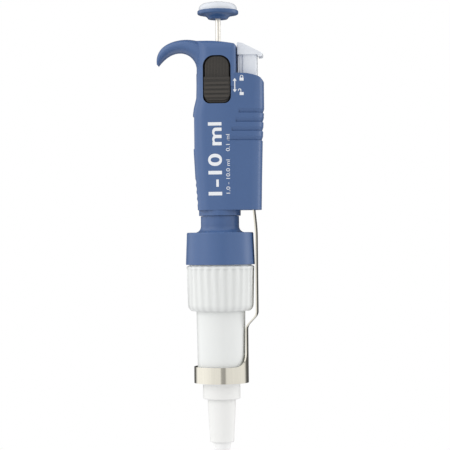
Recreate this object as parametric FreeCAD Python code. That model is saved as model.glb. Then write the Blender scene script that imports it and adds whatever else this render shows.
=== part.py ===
import FreeCAD, Part
import math
import os

# Adjustable single-channel micropipette, 1 to 10 ml, stored at its 10.0 ml setting.
# Millimetres. The origin is on the piston axis at the tip cone's lower end. +Z is up the axis,
# -X is the finger hook's side, +X is the tip ejector's side, and +Y is the back.

V = FreeCAD.Vector

# ---- what the mechanism is designed for
ML_PER_TURN = 1.0          # volume set by one turn of the push button
SPINDLE_PITCH = 1.25       # travel of the stop nut for one turn
MAX_ML = 10.0
MIN_ML = 1.0
BLOWOUT = 1.5              # extra stroke past the first stop
STROKE = MAX_ML / ML_PER_TURN * SPINDLE_PITCH + BLOWOUT
NUT_TRAVEL = (MAX_ML - MIN_ML) / ML_PER_TURN * SPINDLE_PITCH
BORE_R = math.sqrt(1000.0 * ML_PER_TURN / (math.pi * SPINDLE_PITCH))   # piston chamber
LOCK_TRAVEL = 8.0          # lock slider, from open to locked
EJECT_TRAVEL = 9.0         # ejector, from rest to fully down
UNSCREW = 2.5              # drop of the barrel for one turn of its coupling nut

# ---- clearances
RUN = 0.05                 # radial clearance of a shaft in a hole
SLIDE = 0.15               # side clearance of a piece in a straight guide
AIR = 0.3                  # gap between pieces that only pass each other
SEAT = 0.1                 # axial gap between a stop and what rests on it

# ---- handle
HANDLE_Z0 = 131.0          # lower lip of the column
FIN_Z0 = 134.2             # underside of the ejector channel
FIN_TOP = 212.6            # shoulder where the ejector button comes out
CROWN_Z = 231.2            # top of the handle at the axis
DEPTH = 12.3               # half depth of the column, front to back
FIN_DEPTH = 8.2            # half depth of the ejector channel
WALL = 2.0
UPPER_X0, UPPER_X1 = -12.2, 10.9        # sides of the upper body
THIN = 1.3                 # how much less wall there is in front of the lock and the rod
LIP_R = 12.1

# ---- collar, nut and barrel
BARREL_WALL = 1.1
NUT_WALL = 0.9             # between the barrel and the root of the nut's thread
THREAD_DEPTH = 0.55        # height of the thread's ridge
THREAD_GAP = 0.15          # radial gap between one thread's crest and the other's root
COLLAR_WALL = 1.25
THREAD_R = BORE_R + BARREL_WALL + 2 * RUN + NUT_WALL + THREAD_DEPTH    # crest of the nut's thread
NECK_R = 11.1
COLLAR_Z0, COLLAR_Z1 = 102.7, 121.3
COLLAR_R0 = THREAD_R + THREAD_GAP + COLLAR_WALL
COLLAR_R1 = COLLAR_R0 - 0.7
NUT_Z0, NUT_Z1 = 76.0, COLLAR_Z0 - 0.7
NUT_R1 = COLLAR_R0 - 0.4
NUT_R0 = NUT_R1 - 0.6
FLUTES = 26
BARREL_TOP = 112.4
NUT_THREAD_Z = COLLAR_Z0 + 1.7          # where the nut's thread starts
TUBE_R0, TUBE_R1 = 13.6, 14.2
FLOOR_Z0, FLOOR_Z1 = 66.0, 79.3         # boss inside the barrel that the cone screws into

# ---- tip end
CONE_R0, CONE_R1 = 7.05, 8.1
CONE_TAPER_Z = 21.0        # where the cone stops widening
CONE_LAND = 3.0            # straight land at the very end, where a tip seals
SPIGOT_R = 5.55            # top of the cone's shank, in the barrel's floor
FILTER_R = 5.2
FILTER_OUT = 4.3           # how far the filter stands out of the cone

# ---- ejector
STEEL = 0.7
BAND_GAP = 0.9             # between the barrel's tube and the steel band
BAND_R = TUBE_R1 + BAND_GAP + STEEL     # steel band, outside
BAND_Z0, BAND_Z1 = 34.4, 43.8
ARM_HALF = 4.5             # half width of the steel arm
ARM_GAP = 1.2              # between the collar and the arm
ARM_OUT_X = COLLAR_R0 + ARM_GAP + STEEL
ARM_TOP_X = 20.0
BEND_Z0, BEND_Z1, ARM_TOP = 64.5, 76.0, 156.0
SCREW_Z = 151.0
ROD_X = 17.2               # axis of the ejector's carrier and spring
LEDGE_Z0, LEDGE_Z1 = 156.6, 158.6       # shelf in the channel
RING_WALL = 2.5
RING_R = CONE_R1 + 0.25 + RING_WALL
RING_Z0 = 25.0
RING_Z1 = BAND_Z0 + 0.6
TUBE_Z0 = RING_Z1 + UNSCREW + AIR       # the barrel's tube, unscrewed, stays off the push ring
STEM_X0, STEM_X1 = 14.1, 22.6           # the ejector button's stem
STRIP_X0 = 12.1                         # the thinner strip beside the stem
STEM_Y, STRIP_Y = 6.0, 5.2              # half depths of both
HEAD_X0, HEAD_X1 = 11.4, 25.9           # the ejector button's head
THUMB_Z0 = FIN_TOP + EJECT_TRAVEL + 0.9         # lowest edge of that head

# ---- push button and rod
ROD_R = 1.5
ROD_FLAT = ROD_R - 0.3     # half the thickness across the rod's flats, and the radius of its neck
WELL_Z = CROWN_Z - 0.4     # floor of the shallow well round the rod
HUB_R = 6.1
HUB_Z0 = WELL_Z + AIR + STROKE          # the hub stops just above the well
BUTTON_R = 11.9
BUTTON_Z = HUB_Z0 + 2.7    # underside of the disc's rim
CAP_R = 11.0

# ---- volume counter
DRUM_R = 9.5
DRUM_H = 5.9
DRUM_Z0 = 169.8            # lowest drum (tenths)
DRUM_STEP = 6.0
WINDOW_Z0, WINDOW_Z1 = 169.5, 188.3
WINDOW_X = -13.7           # flat of the window recess

# ---- lock
POCKET_HALF, PLATE_HALF, PAD_HALF = 8.0, 6.85, 7.45
POCKET_Z0, POCKET_Z1 = 195.4, 223.0
POCKET_Y = 2.3 - DEPTH     # floor of the lock's pocket
PLATE_T = 1.1
PAD_Z0, PAD_Z1 = 197.2, 210.7
NECK_Z0, NECK_Z1 = 197.9, 200.5         # where the slider reaches through the plate
NECK_HALF = 1.5

# ---- stations along the axis
SPINDLE_Z0, SPINDLE_Z1 = 145.0, 167.0
SPINDLE_R = 5.0
FLANGE_Z0, FLANGE_Z1 = 139.1, 140.8     # piston flange
FLANGE_R = 8.8
HEAD_Z0, HEAD_Z1 = 104.8, 110.8         # piston head
ROOF_Z = 113.6                          # underside of the collar's inner roof
SEAT_Z = 115.2                          # where the springs' seat washer lies
KEY_Z0, KEY_Z1 = 157.8, 164.2           # keys of the stop nut
SLEEVE_TOP = 203.6
CLIP_Z0, CLIP_Z1 = 223.6, 224.4         # retaining ring on the rod
RING_GEAR_Z0, RING_GEAR_Z1 = 199.0, 203.0
RING_GEAR_R = 7.5
RING_GEAR_TEETH = 20
PAWL_Y = -8.0                           # back of the lock's strip


# ------------------------------------------------------------------ helpers
def cyl(r, z0, z1, x=0.0, y=0.0):
    return Part.makeCylinder(r, z1 - z0, V(x, y, z0), V(0, 0, 1))


def tube(r_out, r_in, z0, z1, x=0.0, y=0.0):
    return cyl(r_out, z0, z1, x, y).cut(cyl(r_in, z0 - 1, z1 + 1, x, y))


def box(x0, x1, y0, y1, z0, z1):
    return Part.makeBox(x1 - x0, y1 - y0, z1 - z0, V(x0, y0, z0))


def fuse(shapes):
    first, rest = shapes[0], shapes[1:]
    return first.fuse(rest).removeSplitter() if rest else first


def revolve(points):
    """A solid of revolution about the Z axis. points: (r, z) corners, or (r, z, 'arc') for the
    middle point of an arc between its neighbours."""
    edges, i = [], 0
    ring = points + [points[0]]
    while i < len(ring) - 1:
        a, b = ring[i], ring[i + 1]
        if len(b) == 3:
            c = ring[i + 2]
            edges.append(Part.Arc(V(a[0], 0, a[1]), V(b[0], 0, b[1]), V(c[0], 0, c[1])).toShape())
            i += 2
        else:
            edges.append(Part.makeLine(V(a[0], 0, a[1]), V(b[0], 0, b[1])))
            i += 1
    face = Part.Face(Part.Wire(edges))
    return face.revolve(V(0, 0, 0), V(0, 0, 1), 360)


def rounded(corners, place):
    """A closed wire through corners (u, v, radius), each rounded. place turns (u, v) into a point."""
    n, marks = len(corners), []
    for i in range(n):
        px, py, _ = corners[i - 1]
        cx, cy, r = corners[i]
        nx, ny, _ = corners[(i + 1) % n]
        a, b = math.atan2(py - cy, px - cx), math.atan2(ny - cy, nx - cx)
        half = abs((b - a + math.pi) % (2 * math.pi) - math.pi) / 2
        reach = r / math.tan(half)
        ux, uy = math.cos(a), math.sin(a)
        wx, wy = math.cos(b), math.sin(b)
        mx, my = ux + wx, uy + wy
        m = math.hypot(mx, my)
        far = r / math.sin(half) - r
        marks.append((place(cx + ux * reach, cy + uy * reach),
                      place(cx + mx / m * far, cy + my / m * far),
                      place(cx + wx * reach, cy + wy * reach)))
    edges = []
    for i in range(n):
        start, middle, end = marks[i]
        edges.append(Part.Arc(start, middle, end).toShape())
        edges.append(Part.makeLine(end, marks[(i + 1) % n][0]))
    return Part.Wire(edges)


def slab(corners, z0, z1):
    """A prism along Z from a rounded outline in XY."""
    wire = rounded(corners, lambda u, v: V(u, v, z0))
    return Part.Face(wire).extrude(V(0, 0, z1 - z0))


def plate_y(corners, y0, y1):
    """A prism along Y from a rounded outline in XZ."""
    wire = rounded(corners, lambda u, v: V(u, y0, v))
    return Part.Face(wire).extrude(V(0, y1 - y0, 0))


def plate_x(corners, x0, x1):
    """A prism along X from a rounded outline in YZ."""
    wire = rounded(corners, lambda u, v: V(x0, u, v))
    return Part.Face(wire).extrude(V(x1 - x0, 0, 0))


def frame_box(u0, u1, v0, v1, r):
    return [(u0, v0, r), (u1, v0, r), (u1, v1, r), (u0, v1, r)]


def oval(centre, along, across, half_along, half_across, power=2.3, count=20):
    """A closed smooth wire: a superellipse about centre."""
    points = []
    for i in range(count):
        t = 2 * math.pi * i / count
        c, s = math.cos(t), math.sin(t)
        a = math.copysign(abs(c) ** (2 / power), c) * half_along
        b = math.copysign(abs(s) ** (2 / power), s) * half_across
        points.append(centre + along * a + across * b)
    curve = Part.BSplineCurve()
    curve.interpolate(Points=points, PeriodicFlag=True)
    return Part.Wire([curve.toShape()])


def coil(mean_r, wire_r, z0, z1, turns):
    """A compression spring with its wire's outside between z0 and z1."""
    height = z1 - z0 - 2 * wire_r
    path = Part.makeHelix(height / turns, height, mean_r)
    path.translate(V(0, 0, z0 + wire_r))
    section = Part.Wire([Part.makeCircle(wire_r, V(mean_r, 0, z0 + wire_r), V(0, 1, 0))])
    return Part.Wire(path.Edges).makePipeShell([section], True, True)


def ramp(value, pairs):
    """Straight-line interpolation in (at, value) pairs sorted by at."""
    for (a, p), (b, q) in zip(pairs, pairs[1:]):
        if value <= b:
            return p + (q - p) * max(0.0, value - a) / (b - a)
    return pairs[-1][1]


# ------------------------------------------------------------------ handle
LEFT_EDGE = [(131.0, -12.0), (136.0, -12.4), (153.0, -13.6), (168.5, -14.4), (189.5, -14.6),
             (193.0, -14.1), (199.0, -12.6), (206.0, -12.4), (240.0, -12.4)]
RIGHT_EDGE = [(131.0, 24.1), (150.0, 24.5), (174.0, 25.2), (193.0, 26.2), (240.0, 26.2)]


def column_outline(z, inset=0.0, deeper=0.0):
    """The handle's outline at height z: a column at the left, narrowing to the ejector channel."""
    left = ramp(z, LEFT_EDGE) + inset
    right = ramp(z, RIGHT_EDGE) - inset
    y, f = DEPTH - inset - deeper, FIN_DEPTH - inset
    r = 7.5 - inset
    return [(left, -y, r), (5.0, -y, 55.0), (right, -f, 6.4 - inset), (right, f, 6.4 - inset),
            (5.0, y, 55.0), (left, y, r)]


def column(z0, z1, stations, inset=0.0, deeper=0.0):
    heights = [z0] + [z for z in stations if z0 < z < z1] + [z1]
    wires = [rounded(column_outline(z, inset, deeper), lambda u, v, h=z: V(u, v, h)) for z in heights]
    return Part.makeLoft(wires, True, True)


def hook():
    """The finger rest: oval sections fanned from inside the body, over the finger, to the tip."""
    rows = [  # under side x, z; outer side x, z; half width
        (-12.35, 208.0, 5.0, 208.0, 10.6),
        (-12.4, 213.5, 4.0, 217.0, 10.6),
        (-13.2, 219.2, -3.0, 230.9, 10.3),
        (-15.6, 222.9, -11.4, 232.5, 9.6),
        (-18.7, 225.0, -17.6, 233.4, 8.9),
        (-22.3, 225.8, -23.2, 233.0, 8.3),
        (-26.8, 225.0, -29.0, 231.2, 7.6),
        (-30.8, 222.6, -33.5, 227.8, 6.7),
        (-33.6, 219.9, -35.7, 223.1, 5.3),
        (-34.8, 218.2, -35.9, 219.5, 2.6)]
    wires = []
    for ux, uz, ox, oz, w in rows:
        mid = V((ux + ox) / 2, 0, (uz + oz) / 2)
        along = V(ox - ux, 0, oz - uz)
        half = along.Length / 2
        along.normalize()
        wires.append(oval(mid, along, V(0, 1, 0), half, w))
    return Part.makeLoft(wires, True, False)


def crown_profile(x0, x1, drop):
    """The side view of the upper body's top: a slow arch with a rounded right-hand corner."""
    top = CROWN_Z - drop
    edges = [
        Part.Arc(V(x0, 0, top + 0.8), V(-2.0, 0, top + 0.4), V(x1 - 1.6, 0, top - 1.3)).toShape(),
        Part.Arc(V(x1 - 1.6, 0, top - 1.3), V(x1 - 0.45, 0, top - 1.8), V(x1, 0, top - 3.0)).toShape(),
        Part.makeLine(V(x1, 0, top - 3.0), V(x1, 0, 190)),
        Part.makeLine(V(x1, 0, 190), V(x0, 0, 190)),
        Part.makeLine(V(x0, 0, 190), V(x0, 0, top + 0.8))]
    face = Part.Face(Part.Wire(edges))
    face.translate(V(0, -30, 0))
    return face.extrude(V(0, 60, 0))


def upper_body(inset=0.0, drop=0.0, z0=205.0, deeper=0.0):
    y = DEPTH - inset - deeper
    left = UPPER_X0 + inset
    right = UPPER_X1 - inset
    body = slab([(left, -y, 7.5 - inset), (right, -y, 3.0 - min(inset, 1.5)),
                 (right, y, 3.0 - min(inset, 1.5)), (left, y, 7.5 - inset)], z0, 240.0)
    shoulders = plate_x([(-y, 150.0, 1.0), (y, 150.0, 1.0), (y, CROWN_Z + 0.8 - drop, 5.0),
                         (-y, CROWN_Z + 0.8 - drop, 5.0)], -40.0, 40.0)
    return body.common(crown_profile(left, right, drop)).common(shoulders)


def fin_top():
    """The channel's rounded shoulder, seen from the front, as a keeping prism."""
    edges = [
        Part.makeLine(V(-40, 0, 100), V(-40, 0, FIN_TOP + 0.3)),
        Part.makeLine(V(-40, 0, FIN_TOP + 0.3), V(13.0, 0, FIN_TOP + 0.3)),
        Part.Arc(V(13.0, 0, FIN_TOP + 0.3), V(18.5, 0, FIN_TOP - 0.2), V(22.8, 0, FIN_TOP - 1.3)).toShape(),
        Part.Arc(V(22.8, 0, FIN_TOP - 1.3), V(25.2, 0, FIN_TOP - 2.7), V(26.3, 0, FIN_TOP - 5.2)).toShape(),
        Part.makeLine(V(26.3, 0, FIN_TOP - 5.2), V(27.4, 0, 100)),
        Part.makeLine(V(27.4, 0, 100), V(-40, 0, 100))]
    face = Part.Face(Part.Wire(edges))
    face.translate(V(0, -30, 0))
    return face.extrude(V(0, 60, 0))


def grip_grooves():
    """Four stepped grooves round the channel's side, each starting further forward than the last."""
    cuts = []
    for z, x_start in ((191.5, 12.3), (186.2, 10.6), (181.0, 8.2), (175.6, 5.9)):
        lower = rounded(column_outline(z - 1.5, 0.75), lambda u, v, h=z - 1.5: V(u, v, h))
        upper = rounded(column_outline(z + 1.0, 0.02), lambda u, v, h=z + 1.0: V(u, v, h))
        keep = Part.makeLoft([lower, upper], True, True)
        ring = box(x_start, 40.0, -30.0, 30.0, z - 1.5, z + 1.0).cut(keep)
        cuts.append(ring)
    return cuts


def finger_ribs():
    """Four shallow scallops across the column's left face, above its lower lip."""
    cuts = []
    for i in range(4):
        z = 138.6 + 3.9 * i
        x = ramp(z, LEFT_EDGE) - 2.35
        cuts.append(Part.makeCylinder(2.9, 40.0, V(x, -20.0, z), V(0, 1, 0)))
    return cuts


def handle_outer():
    lower = column(FIN_Z0, FIN_TOP + 1.0, [153.0, 168.5, 174.0, 189.5, 193.0, 199.0, 206.0])
    lower = lower.common(fin_top())
    lip = cyl(LIP_R, HANDLE_Z0, FIN_Z0 + 3.0)
    body = lower.fuse([upper_body(), hook(), lip])
    recess = box(-30.0, WINDOW_X, -30.0, 30.0, WINDOW_Z0, WINDOW_Z1)
    w = POCKET_HALF
    pocket = plate_y([(-w, POCKET_Z0, 4.0), (w, POCKET_Z0, 4.0), (w, POCKET_Z1, 6.4), (-w, POCKET_Z1, 6.4)],
                     -30.0, POCKET_Y)
    return body.cut([recess, pocket] + grip_grooves() + finger_ribs())


def handle_cavity():
    """Everything hollow inside the handle."""
    lower = column(141.2, 192.0, [153.0, 168.5, 174.0, 189.5], WALL)
    middle = column(191.0, FIN_TOP - WALL, [193.0, 199.0, 206.0], WALL, THIN)
    lower = lower.cut(spring_ledge())
    foot = column(FIN_Z0 + 1.6, 142.0, [], WALL).common(box(12.2, 40.0, -20, 20, 120, 150))
    upper = upper_body(WALL, 5.0, 200.0, THIN)
    neck = cyl(10.0, HANDLE_Z0 - 1, 142.0)
    return [lower, middle, foot, upper, neck]


def spring_ledge():
    """Shelf across the channel. The ejector's spring stands on it, and its carrier stops under it."""
    return box(12.6, 30.0, -12.0, 12.0, LEDGE_Z0, LEDGE_Z1).cut(cyl(2.0 + 2 * SLIDE, 150.0, 165.0, ROD_X))


def handle_openings():
    window = plate_x(frame_box(-4.6, 4.6, 171.0, 186.8, 1.0), -20.0, -9.0)
    rod_hole = cyl(ROD_R + 2.1, 220.0, 240.0)
    well = cyl(HUB_R + AIR, WELL_Z, 240.0)
    y = STEM_Y + AIR
    button_hole = slab(frame_box(STRIP_X0 - AIR, STEM_X1 + AIR, -y, y, 1.3), 200.0, 240.0)
    arm_hole = slab(frame_box(16.6, 23.0, -5.6, 5.6, 1.0), 120.0, 150.0)
    w = NECK_HALF + AIR
    lock_slot = box(-w, w, -20.0, PAWL_Y, NECK_Z0 - AIR, NECK_Z1 + LOCK_TRAVEL + AIR)
    return [window, rod_hole, well, button_hole, arm_hole, lock_slot]


def handle_shells():
    whole = handle_outer().cut(handle_cavity() + handle_openings())
    front = whole.common(box(-60, 60, -40, 0, 100, 260))
    back = whole.common(box(-60, 60, 0, 40, 100, 260))
    return front, back


def top_bushing():
    low, sleeve = CLIP_Z1 + SEAT, ROD_R + 2.0
    return revolve([(ROD_R + RUN, low), (sleeve + 0.9, low), (sleeve + 0.9, low + 0.7), (sleeve, low + 0.7),
                    (sleeve, WELL_Z - 0.1), (sleeve - 0.3, WELL_Z), (ROD_R + RUN, WELL_Z)])


def display_window():
    """Clear lens: a pane in the handle's window with a flange behind the wall."""
    pane = plate_x(frame_box(-4.5, 4.5, 171.1, 186.7, 0.9), WINDOW_X + 0.15, WINDOW_X + 1.9)
    inner = plate_x(frame_box(-5.6, 5.6, 170.2, 187.6, 1.0), WINDOW_X + 1.4, WINDOW_X + 2.2)
    return fuse([pane, inner])


def counter_frame():
    """Cage that carries the drums: two end plates joined by a web on the ejector's side."""
    r, x = DRUM_R + 0.6, DRUM_R + 1.7
    z0, z1 = DRUM_Z0 - AIR, DRUM_Z0 + 2 * DRUM_STEP + DRUM_H + AIR
    low = cyl(r, z0 - 2.1, z0).fuse(box(0, x, -6.0, 6.0, z0 - 2.1, z0))
    high = cyl(r, z1, z1 + 2.3).fuse(box(0, x, -6.0, 6.0, z1, z1 + 2.3))
    web = box(x - 1.2, x, -6.0, 6.0, z0 - 2.1, z1 + 2.3)
    body = fuse([low, high, web])
    body = body.cut([cyl(4.0 + RUN, 180.0, 200.0), cyl(SPINDLE_R + 0.6, 160.0, 180.0)])
    return body.cut(plate_x(frame_box(-3.6, 3.6, z0 + 3.5, z1 - 3.2, 1.2), x - 4.0, x + 4.0))


def lock_plate():
    """Backing plate of the lock, with a slot for the slider's neck and fine upright lines."""
    w, z0, z1 = PLATE_HALF, POCKET_Z0 + 0.5, POCKET_Z1 - 0.6
    plate = plate_y([(-w, z0, 3.2), (w, z0, 3.2), (w, z1, 5.6), (-w, z1, 5.6)], POCKET_Y - PLATE_T, POCKET_Y)
    n = NECK_HALF + SLIDE
    cuts = [box(-n, n, -20.0, 0.0, NECK_Z0 - SLIDE, NECK_Z1 + LOCK_TRAVEL + SLIDE)]
    for i in range(15):
        x = 0.86 * (i - 7)
        cuts.append(box(x - 0.15, x + 0.15, POCKET_Y - 1.2, POCKET_Y - 0.98, PAD_Z1 + 0.6, z1 - 1.2))
    return plate.cut(cuts)


def lock_slider():
    """Thumb pad with cross ribs, on a neck that reaches through the plate."""
    y0, w = POCKET_Y - PLATE_T - SLIDE, PAD_HALF
    pad = plate_y([(-w, PAD_Z0, 3.6), (w, PAD_Z0, 3.6), (w, PAD_Z1, 1.0), (-w, PAD_Z1, 1.0)], y0 - 1.15, y0)
    step = plate_y(frame_box(-w, w, PAD_Z1 - 1.3, PAD_Z1, 0.6), y0 - 1.55, y0 - 0.5)
    ribs = [step]
    for i in range(4):
        z = PAD_Z0 + 2.3 + 2.5 * i
        ribs.append(plate_y(frame_box(0.8 - w, w - 0.8, z - 0.85, z + 0.85, 0.7), y0 - 1.5, y0 - 0.9))
    neck = box(-NECK_HALF, NECK_HALF, y0 - 0.2, PAWL_Y - 0.8, NECK_Z0, NECK_Z1)
    return fuse([pad, neck] + ribs)


def lock_pawl():
    """Strip behind the slider, ending in a tooth that enters the sleeve's toothed ring."""
    tip = RING_GEAR_Z0 + 0.5 - LOCK_TRAVEL
    strip = box(-NECK_HALF, NECK_HALF, PAWL_Y - 0.8, PAWL_Y, tip, NECK_Z1 + 1.4)
    tooth = box(-0.5, 0.5, PAWL_Y - 0.2, 0.75 - RING_GEAR_R, tip, tip + 3.5)
    return fuse([strip, tooth])


# ------------------------------------------------------------------ volume setting
def drive_sleeve():
    """Hollow spindle: threaded below, carrying the drums, toothed for the lock at the top."""
    flats = rod_section(RUN)
    body = fuse([
        cyl(SPINDLE_R, SPINDLE_Z0, SPINDLE_Z1), cyl(4.0, SPINDLE_Z1 - 1, 190.0),
        revolve([(0, 189.0), (4.0, 189.0), (4.0, 190.6), (6.0, 190.6), (6.0, 193.0),
                 (4.4, 194.4), (4.4, 197.4), (RING_GEAR_R, RING_GEAR_Z0),
                 (RING_GEAR_R, RING_GEAR_Z1), (5.0, SLEEVE_TOP), (0, SLEEVE_TOP)])])
    cuts = [Part.Face(flats).extrude(V(0, 0, 12.0)).translated(V(0, 0, 196.0)),
            cyl(ROD_R + 0.8, 140.0, 196.5)]
    groove = box(-0.7, 0.7, -RING_GEAR_R - 1, -6.4, 198.0, 205.0)
    for i in range(RING_GEAR_TEETH):
        cuts.append(groove.rotated(V(0, 0, 0), V(0, 0, 1), 360.0 * i / RING_GEAR_TEETH))
    for i in range(12):
        z = SPINDLE_Z0 + 0.9 + 1.7 * i
        cuts.append(tube(SPINDLE_R + 1, SPINDLE_R - 0.35, z, z + 0.7))
    return body.cut(cuts)


def rod_section(grow=0.0):
    """Outline of the rod with its two flats, so that the sleeve turns with it."""
    r, f = ROD_R + grow, ROD_FLAT + grow
    x = math.sqrt(r * r - f * f)
    edges = [Part.makeLine(V(-x, f, 0), V(x, f, 0)),
             Part.Arc(V(x, f, 0), V(r, 0, 0), V(x, -f, 0)).toShape(),
             Part.makeLine(V(x, -f, 0), V(-x, -f, 0)),
             Part.Arc(V(-x, -f, 0), V(-r, 0, 0), V(-x, f, 0)).toShape()]
    return Part.Wire(edges)


def drum(z0, bore, notches):
    """Number drum: a hollow rim on a thin web, with drive notches inside its upper edge."""
    body = revolve([(bore, z0), (DRUM_R, z0), (DRUM_R, z0 + DRUM_H), (DRUM_R - 1.2, z0 + DRUM_H),
                    (DRUM_R - 1.2, z0 + 1.4), (bore + 1.3, z0 + 1.4), (bore + 1.3, z0 + DRUM_H),
                    (bore, z0 + DRUM_H)])
    tooth = box(DRUM_R - 1.6, DRUM_R - 0.6, -0.5, 0.5, z0 + DRUM_H - 1.2, z0 + DRUM_H + 1)
    step = 360.0 / notches
    return body.cut([tooth.rotated(V(0, 0, 0), V(0, 0, 1), step * i) for i in range(notches)])


def nut_guide():
    """Fixed tube with two straight slots that keep the stop nut from turning."""
    body = tube(10.1, 8.75, 141.6, 167.2)
    low = KEY_Z0 - NUT_TRAVEL - 1.9
    slots = [box(-1.5 - SLIDE, 1.5 + SLIDE, s * 9.5 - 3, s * 9.5 + 3, low, KEY_Z1 + 2.0) for s in (-1, 1)]
    return body.cut(slots)


def stop_nut():
    """Nut on the spindle. Its skirt is the upper stop of the piston."""
    body = revolve([(SPINDLE_R + RUN, 157.0), (8.6, 157.0), (8.6, 165.0), (SPINDLE_R + RUN, 165.0)])
    skirt = tube(7.4, SPINDLE_R + 0.4, FLANGE_Z1 + SEAT, 157.5)
    keys = [box(-1.5, 1.5, min(s * 8.0, s * 9.7), max(s * 8.0, s * 9.7), KEY_Z0, KEY_Z1)
            for s in (-1, 1)]
    return fuse([body, skirt] + keys)


# ------------------------------------------------------------------ plunger
def plunger_rod():
    z = CLIP_Z0
    upper = cyl(ROD_R, CLIP_Z1 + 0.2, BUTTON_Z + 1.0)
    groove = cyl(ROD_FLAT, z - 0.2, CLIP_Z1 + 0.4)
    keyed = Part.Face(rod_section()).extrude(V(0, 0, z - 146.0)).translated(V(0, 0, 146.0))
    end = cyl(ROD_FLAT, 142.6, 146.5)
    return fuse([upper, groove, keyed, end])


def push_button():
    """Shallow bowl with a hub that is pressed on the rod, and a spigot that holds the cap."""
    b, h = BUTTON_Z, HUB_Z0
    body = revolve([
        (0, h), (HUB_R - 1.3, h), (HUB_R - 0.4, h + 0.25, "arc"), (HUB_R, h + 0.9),
        (HUB_R + 1.6, b - 0.75, "arc"), (HUB_R + 3.2, b - 0.3), (BUTTON_R - 0.8, b),
        (BUTTON_R - 0.2, b + 0.25, "arc"), (BUTTON_R, b + 0.8), (BUTTON_R, b + 1.6),
        (BUTTON_R - 0.2, b + 2.1, "arc"), (BUTTON_R - 0.7, b + 2.35), (8.2, b + 2.35), (8.2, b + 3.6),
        (0, b + 3.6)])
    return body.cut(cyl(ROD_R, h - 1, b + 1.1))


def button_cap():
    """Domed cap that sits over the spigot."""
    b = BUTTON_Z
    edge, rise, top = 7.8, 1.0, b + 7.5         # the dome's rim, its height over the rim, and its top
    ball = (edge * edge + rise * rise) / (2 * rise)
    middle = top - ball + math.sqrt(ball * ball - edge * edge / 4)
    return revolve([(0, b + 3.7), (8.3, b + 3.7), (8.3, b + 2.4), (CAP_R, b + 2.4), (CAP_R + 0.05, b + 3.6),
                    (CAP_R - 0.9, b + 5.4, "arc"), (edge, top - rise), (edge / 2, middle, "arc"), (0, top)])


def rod_clip():
    """Open retaining ring in the rod's groove. It is the rod's upper stop."""
    ring = tube(ROD_R + 1.9, ROD_FLAT + RUN, CLIP_Z0, CLIP_Z1)
    return ring.cut(box(-1.0, 1.0, 0, ROD_R + 4, CLIP_Z0 - 1, CLIP_Z1 + 1))


def rod_foot():
    """Thrust cup under the rod. It slides with the rod while the rod turns in it."""
    bore = ROD_FLAT + RUN
    return revolve([(0, FLANGE_Z1 + SEAT), (4.0, FLANGE_Z1 + SEAT), (4.5, FLANGE_Z1 + SEAT + 0.5),
                    (4.5, 143.4), (3.0, 144.3), (bore, 144.3), (bore, 142.5), (0, 142.5)])


# ------------------------------------------------------------------ piston
def piston_stem():
    return revolve([(0, 106.0), (3.0, 106.0), (3.0, HEAD_Z1), (4.2, HEAD_Z1), (4.2, FLANGE_Z0 - 0.6),
                    (4.8, FLANGE_Z0), (FLANGE_R, FLANGE_Z0), (FLANGE_R, FLANGE_Z1), (0, FLANGE_Z1)])


def piston_head():
    r = BORE_R - 0.45
    body = revolve([(0, HEAD_Z0), (r - 1.2, HEAD_Z0), (r, HEAD_Z0 + 1.0), (r, HEAD_Z0 + 2.0),
                    (r - 2.4, HEAD_Z0 + 2.0), (r - 2.4, HEAD_Z0 + 4.6), (r, HEAD_Z0 + 4.6),
                    (r, HEAD_Z1), (0, HEAD_Z1)])
    return body.cut(cyl(3.0, 106.0, 112.0))


def piston_seal():
    r = BORE_R - RUN
    z = HEAD_Z0 + 2.05
    return revolve([(BORE_R - 2.8, z), (r - 0.3, z), (r, z + 0.3), (r, z + 0.9), (r - 0.5, z + 1.25),
                    (r, z + 1.6), (r, z + 2.2), (r - 0.3, z + 2.5), (BORE_R - 2.8, z + 2.5)])


def blowout_disc():
    return revolve([(7.3, 125.0), (9.25, 125.0), (9.25, 126.5), (7.3, 126.5)])


def spring_seat():
    return revolve([(4.5, SEAT_Z), (9.3, SEAT_Z), (9.3, SEAT_Z + 0.9), (5.2, SEAT_Z + 0.9),
                    (5.2, SEAT_Z + 1.7), (4.8, SEAT_Z + 1.7), (4.5, SEAT_Z + 1.3)])


# ------------------------------------------------------------------ collar, nut and barrel
def thread_ridge(r_root, depth, z0, turns, pitch, outward):
    """A helical ridge of trapezoid section, right-handed. It stands outward or inward."""
    path = Part.makeHelix(pitch, pitch * turns, r_root)
    path.translate(V(0, 0, z0))
    s = 1.0 if outward else -1.0
    pts = [(r_root - s * 0.25, -0.55), (r_root + s * depth, -0.28), (r_root + s * depth, 0.28),
           (r_root - s * 0.25, 0.55)]
    section = Part.makePolygon([V(r, 0, z0 + z) for r, z in pts + pts[:1]])
    return Part.Wire(path.Edges).makePipeShell([section], True, True)


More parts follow.
